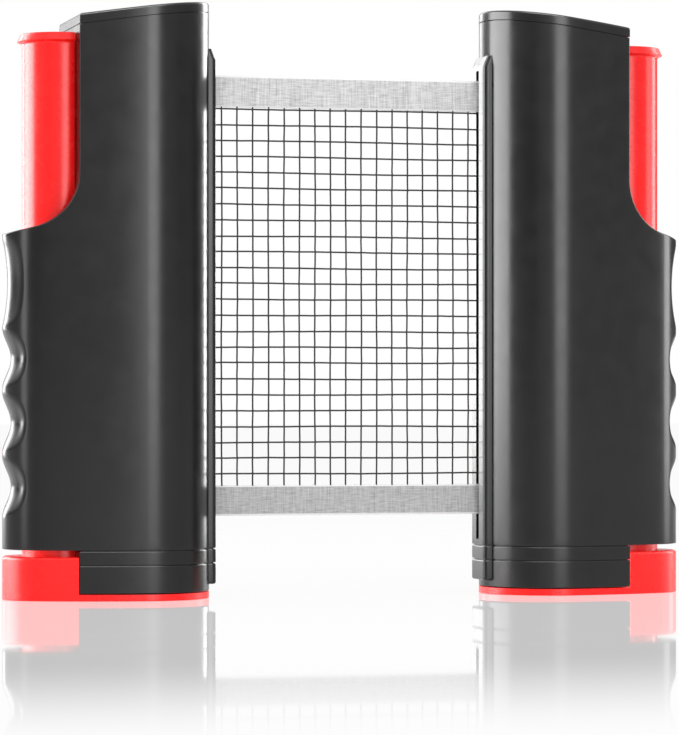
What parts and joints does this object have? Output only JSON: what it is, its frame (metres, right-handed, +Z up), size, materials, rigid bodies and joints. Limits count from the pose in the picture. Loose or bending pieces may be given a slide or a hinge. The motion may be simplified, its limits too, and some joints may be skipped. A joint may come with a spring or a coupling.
{
  "type": "table tennis net clamp",
  "caption": "Retractable table tennis net between two upright posts, each with a finger grip, a thumb plunger and a spring-closed clamp jaw at its foot.",
  "frame": {"origin": "midway between the two posts, on the surface that the lower jaws stand on", "axes": "+X along the net towards the right post, +Y away from the side that is seen, +Z up"},
  "size_m": [0.2418, 0.048, 0.2049],
  "materials": {
    "black_plastic": "fine satin texture",
    "red_plastic": "satin",
    "pad_rubber": "matt",
    "spring_steel": "drawn wire",
    "zinc_steel": "zinc plated",
    "tube_aluminium": "drawn",
    "net_cord": "knotted polyester cord",
    "grey_tape": "woven heather grey tape"
  },
  "bodies": {
    "left_post": {"left_top_cap": "black_plastic", "left_front_shell": "black_plastic", "left_rear_shell": "black_plastic", "left_base_ring": "black_plastic", "left_upper_jaw": "black_plastic", "left_upper_pad": "pad_rubber", "left_return_spring": "spring_steel", "left_spring_seat": "zinc_steel", "left_roller_arbor": "zinc_steel", "left_net_leader": "net_cord", "left_case_screws": "zinc_steel", "left_base_screws": "zinc_steel", "net_mesh": "net_cord", "net_top_tape": "grey_tape", "net_bottom_tape": "grey_tape"},
    "left_jaw": {"left_lower_jaw": "red_plastic", "left_lower_pad": "pad_rubber", "left_thumb_plunger": "red_plastic", "left_plunger_pins": "zinc_steel"},
    "left_roller": {"left_net_roller_tube": "tube_aluminium", "left_roller_lower_plug": "black_plastic", "left_roller_upper_plug": "black_plastic", "left_winding_spring": "spring_steel", "left_net_roll": "net_cord"},
    "right_post": {"right_top_cap": "black_plastic", "right_front_shell": "black_plastic", "right_rear_shell": "black_plastic", "right_base_ring": "black_plastic", "right_upper_jaw": "black_plastic", "right_upper_pad": "pad_rubber", "right_return_spring": "spring_steel", "right_spring_seat": "zinc_steel", "right_roller_arbor": "zinc_steel", "right_net_leader": "net_cord", "right_case_screws": "zinc_steel", "right_base_screws": "zinc_steel"},
    "right_jaw": {"right_lower_jaw": "red_plastic", "right_lower_pad": "pad_rubber", "right_thumb_plunger": "red_plastic", "right_plunger_pins": "zinc_steel"},
    "right_roller": {"right_net_roller_tube": "tube_aluminium", "right_roller_lower_plug": "black_plastic", "right_roller_upper_plug": "black_plastic", "right_winding_spring": "spring_steel", "right_net_roll": "net_cord"}
  },
  "joints": [
    {"name": "left_jaw_open", "type": "slide", "parent": "left_post", "child": "left_jaw", "axis": [0, 0, -1], "range_m": [0, 0.04], "stiffness_N_per_m": 400, "springref_m": -0.045, "deforming": ["left_return_spring"]},
    {"name": "right_jaw_open", "type": "slide", "parent": "right_post", "child": "right_jaw", "axis": [0, 0, -1], "range_m": [0, 0.04], "stiffness_N_per_m": 400, "springref_m": -0.045, "deforming": ["right_return_spring"]},
    {"name": "post_spread", "type": "slide", "parent": "left_post", "child": "right_post", "axis": [1, 0, 0], "range_m": [-0.0949, 1.6], "deforming": ["net_mesh", "net_top_tape", "net_bottom_tape"]},
    {"name": "left_roller_turn", "type": "hinge", "parent": "left_post", "child": "left_roller", "pos_m": [-0.06995, 0, 0.1], "axis": [0, 0, 1], "range_deg": [-4439, 265]},
    {"name": "right_roller_turn", "type": "hinge", "parent": "right_post", "child": "right_roller", "pos_m": [0.06995, 0, 0.1], "axis": [0, 0, 1], "range_deg": [-265, 4439]}
  ],
  "couplings": [
    {"joint": "left_roller_turn", "follows": "post_spread", "rad_per_m": -48.4},
    {"joint": "right_roller_turn", "follows": "post_spread", "rad_per_m": 48.4}
  ]
}
